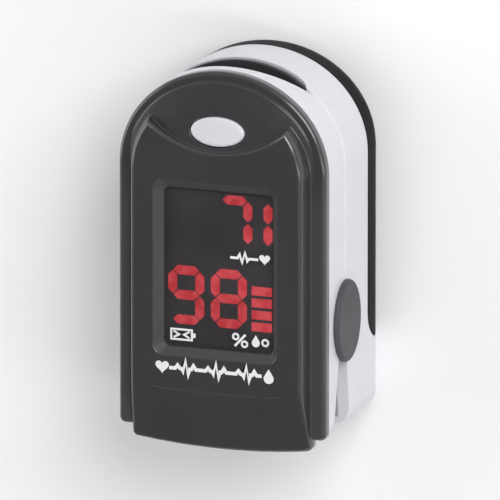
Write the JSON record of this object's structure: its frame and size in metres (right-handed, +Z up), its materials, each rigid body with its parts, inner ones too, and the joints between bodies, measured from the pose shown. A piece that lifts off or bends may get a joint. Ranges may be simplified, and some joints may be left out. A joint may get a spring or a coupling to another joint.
{
  "type": "fingertip pulse oximeter",
  "caption": "Clip-on fingertip pulse oximeter: sprung jaws on one hinge pin, red digit display, oval button, padded finger cavity and a sliding battery door.",
  "frame": {"origin": "middle of the plan box, on the flat underside of the lower jaw", "axes": "+X to the right with the display readable, +Y towards the finger mouth at the arched end, +Z up, out of the display"},
  "size_m": [0.0358, 0.06, 0.031],
  "materials": {
    "white_shell": "moulded ABS, satin gloss white",
    "black_cover": "moulded ABS, high gloss black",
    "black_door": "moulded ABS, fine satin black",
    "button_silver": "silver white lacquer",
    "grey_cap": "fine spark texture, dark grey",
    "silicone": "soft black silicone",
    "tinted_lens": "smoked acrylic, polished",
    "clear_window": "clear epoxy",
    "segments_red": "lit LED segments",
    "module_black": "dull black reflector housing",
    "board_green": "glass epoxy with solder mask",
    "chip_black": "moulded epoxy",
    "switch_body": "glass filled nylon",
    "steel": "zinc plated",
    "spring_steel": "drawn spring wire",
    "nickel": "nickel plated strip",
    "cell_sleeve": "plain shrink sleeve on a steel can",
    "flex_amber": "polyimide flex circuit"
  },
  "bodies": {
    "lower_half": {"lower_shell": "white_shell", "battery_tray": "white_shell", "lower_cradle": "white_shell", "lower_finger_pad": "silicone", "sensor_board": "board_green", "photodiode": "chip_black", "sensor_window": "clear_window", "battery_cell_left": "cell_sleeve", "battery_cell_right": "cell_sleeve", "battery_link_contact": "nickel", "battery_end_contacts": "nickel", "hinge_pin": "steel", "pivot_cover_left": "grey_cap", "pivot_cover_right": "grey_cap", "torsion_spring_left": "spring_steel", "torsion_spring_right": "spring_steel", "flex_cable": "flex_amber", "tray_screws": "steel"},
    "upper_half": {"top_cover": "black_cover", "display_lens": "tinted_lens", "upper_shell": "white_shell", "main_board": "board_green", "display_module": "module_black", "digit_segments": "segments_red", "board_chips": "chip_black", "tact_switch": "switch_body", "board_screws": "steel", "cover_screws": "steel", "upper_finger_pad": "silicone", "emitter_window": "clear_window", "emitter_led": "chip_black"},
    "power_button": {"power_button": "button_silver", "switch_plunger": "switch_body"},
    "battery_door": {"battery_door": "black_door"}
  },
  "joints": [
    {"name": "jaw_hinge", "type": "hinge", "parent": "lower_half", "child": "upper_half", "pos_m": [0, -0.0099, 0.0195], "axis": [1, 0, 0], "range_deg": [0, 20], "stiffness_Nm_per_rad": 0.12, "springref_deg": -22.92, "deforming": ["torsion_spring_left", "torsion_spring_right", "flex_cable"]},
    {"name": "button_press", "type": "slide", "parent": "upper_half", "child": "power_button", "axis": [0, 0, -1], "range_m": [0, 0.0004], "stiffness_N_per_m": 50, "springref_m": -0.0015},
    {"name": "door_slide", "type": "slide", "parent": "lower_half", "child": "battery_door", "axis": [0, 1, 0], "range_m": [0, 0.052]}
  ]
}
